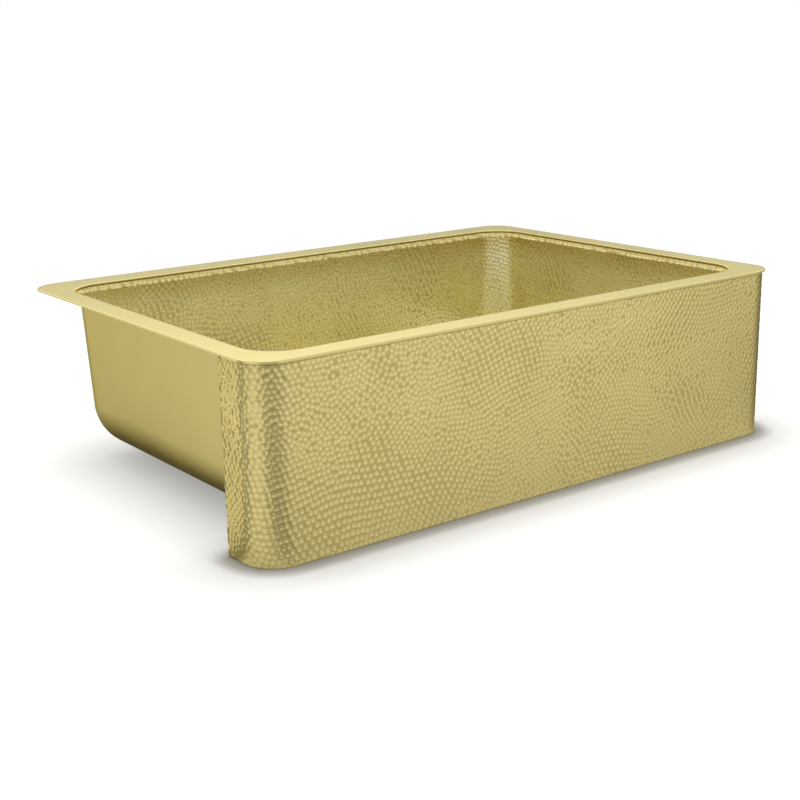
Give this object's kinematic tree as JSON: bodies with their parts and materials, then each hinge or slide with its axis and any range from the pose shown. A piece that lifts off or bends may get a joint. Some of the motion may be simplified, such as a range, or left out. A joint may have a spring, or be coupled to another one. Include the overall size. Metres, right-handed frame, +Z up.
{
  "type": "farmhouse apron front sink",
  "caption": "Single-bowl apron-front kitchen sink in hammered brass sheet: flat rim frame, deep rounded bowl with a centre drain opening, wrapped front apron.",
  "frame": {"origin": "middle of the footprint, on the surface that the sink stands on", "axes": "+X to the right seen from the front, +Y to the back, +Z up"},
  "size_m": [0.838, 0.584, 0.232],
  "materials": {
    "brass_hammered": "hand-hammered, satin",
    "brass_brushed": "fine brushed, satin",
    "brass_mill": "plain rolled strip with brazed edges"
  },
  "bodies": {
    "root": {"rim_frame": "brass_brushed", "bowl_shell": "brass_hammered", "apron_skin": "brass_hammered", "drain_ring": "brass_mill", "apron_bottom_flange": "brass_mill", "return_lip_left": "brass_mill", "return_lip_right": "brass_mill", "side_tie_left": "brass_mill", "side_tie_right": "brass_mill", "apron_rib_left": "brass_mill", "apron_rib_centre": "brass_mill", "apron_rib_right": "brass_mill"}
  },
  "joints": []
}
